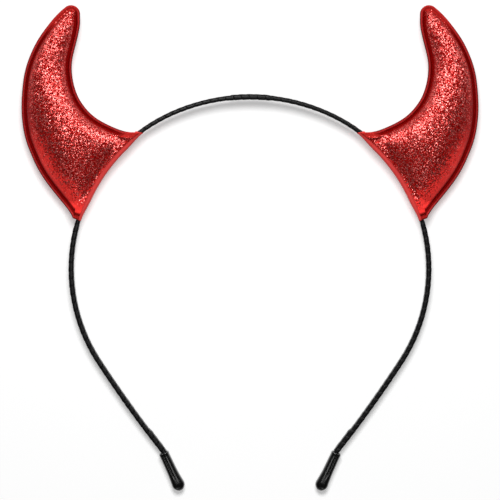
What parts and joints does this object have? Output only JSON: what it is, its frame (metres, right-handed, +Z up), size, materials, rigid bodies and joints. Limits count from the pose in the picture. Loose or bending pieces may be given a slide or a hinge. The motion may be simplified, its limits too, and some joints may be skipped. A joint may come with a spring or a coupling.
{
  "type": "devil horns headband",
  "caption": "Slim black ribbon-wound hairband with a padded red glitter horn on each side and black rubber end caps, lying flat.",
  "frame": {"origin": "on the surface that the headband lies on, below the middle of its box", "axes": "+Z up, +X from the left horn to the right one, +Y from the end caps to the tips of the horns"},
  "size_m": [0.1758, 0.1876, 0.0177],
  "materials": {
    "ribbon": "satin",
    "rubber": "gloss",
    "glitter_cloth": "satin",
    "plain_cloth": "matte"
  },
  "bodies": {
    "root": {"band": "ribbon", "left_end_cap": "rubber", "right_end_cap": "rubber", "left_horn_front_panel": "glitter_cloth", "left_horn_back_panel": "glitter_cloth", "left_horn_hem": "plain_cloth", "right_horn_front_panel": "glitter_cloth", "right_horn_back_panel": "glitter_cloth", "right_horn_hem": "plain_cloth"}
  },
  "joints": []
}
